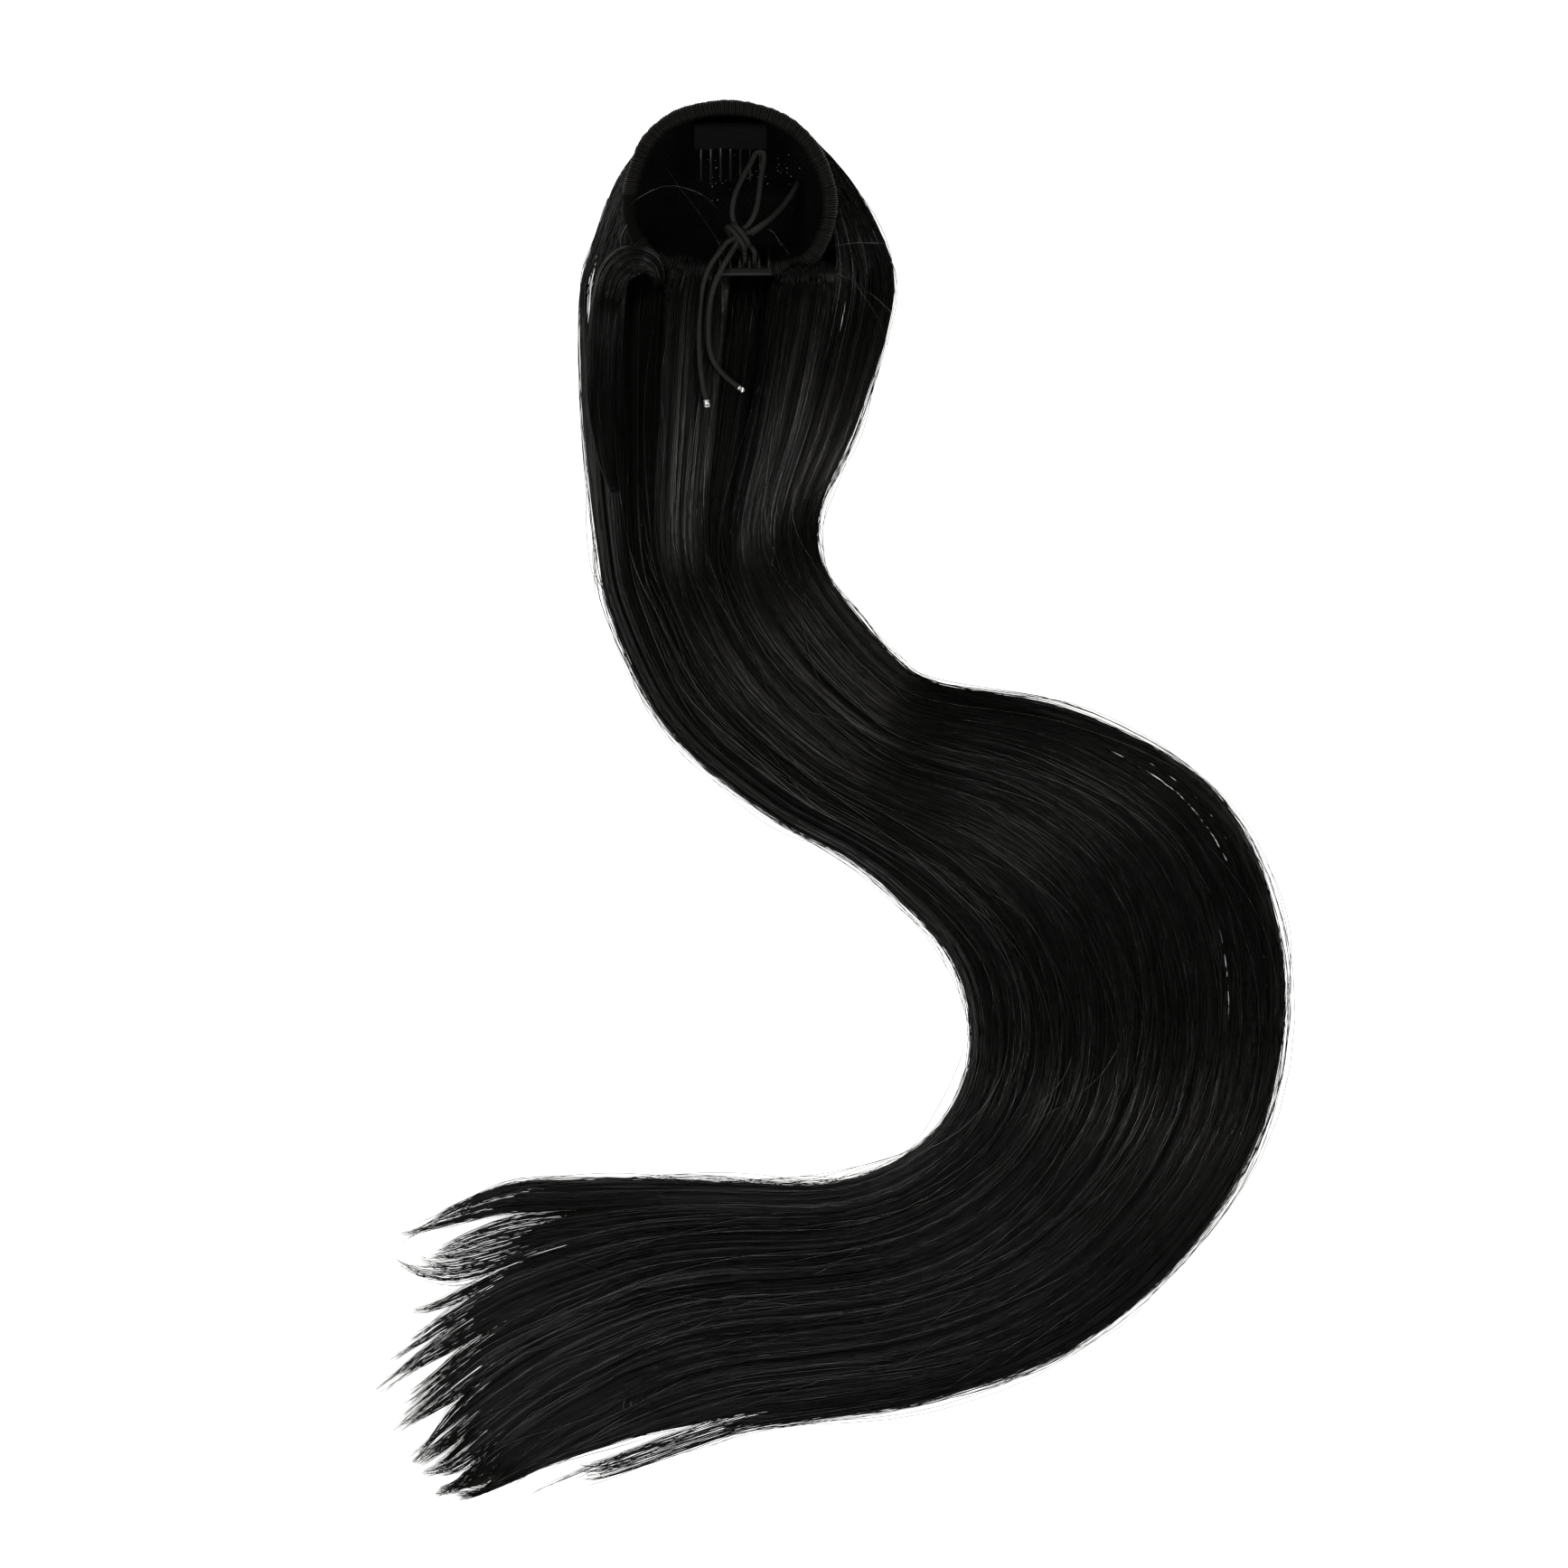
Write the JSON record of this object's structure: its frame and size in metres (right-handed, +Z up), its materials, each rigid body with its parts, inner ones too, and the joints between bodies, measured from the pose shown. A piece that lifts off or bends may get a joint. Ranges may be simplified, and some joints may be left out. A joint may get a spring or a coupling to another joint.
{
  "type": "ponytail hairpiece",
  "caption": "Long straight dark ponytail hairpiece on a net cap with a rolled rim, a tied drawstring and comb grips, lying open side up with its hair in an S.",
  "frame": {"origin": "on the surface that the hair lies on, under the middle of the plan outline", "axes": "+Z up, out of the cap's open side; +Y towards the cap; +X to the right of the laid S, the tips at -X and -Y"},
  "size_m": [0.3501, 0.5338, 0.045],
  "materials": {
    "hair": "smooth synthetic hair with a soft sheen",
    "net": "matt open net",
    "casing": "matt overcast elastic cloth",
    "sleeve": "matt woven cloth",
    "comb": "glossy moulded",
    "cord": "braided elastic cord",
    "cord_tip": "crimped metal"
  },
  "bodies": {
    "root": {"hair_back": "hair", "hair_front_left": "hair", "hair_front_right": "hair", "hair_curl_left": "hair", "cap_net": "net", "rim_casing": "casing", "comb_top": "comb", "comb_top_sleeve": "sleeve", "comb_front": "comb", "drawstring_ring": "cord", "drawstring_loop_tall": "cord", "drawstring_loop_short": "cord", "drawstring_tail_left": "cord", "drawstring_tail_right": "cord", "drawstring_knot": "cord", "cord_tip_left": "cord_tip", "cord_tip_right": "cord_tip"}
  },
  "joints": []
}
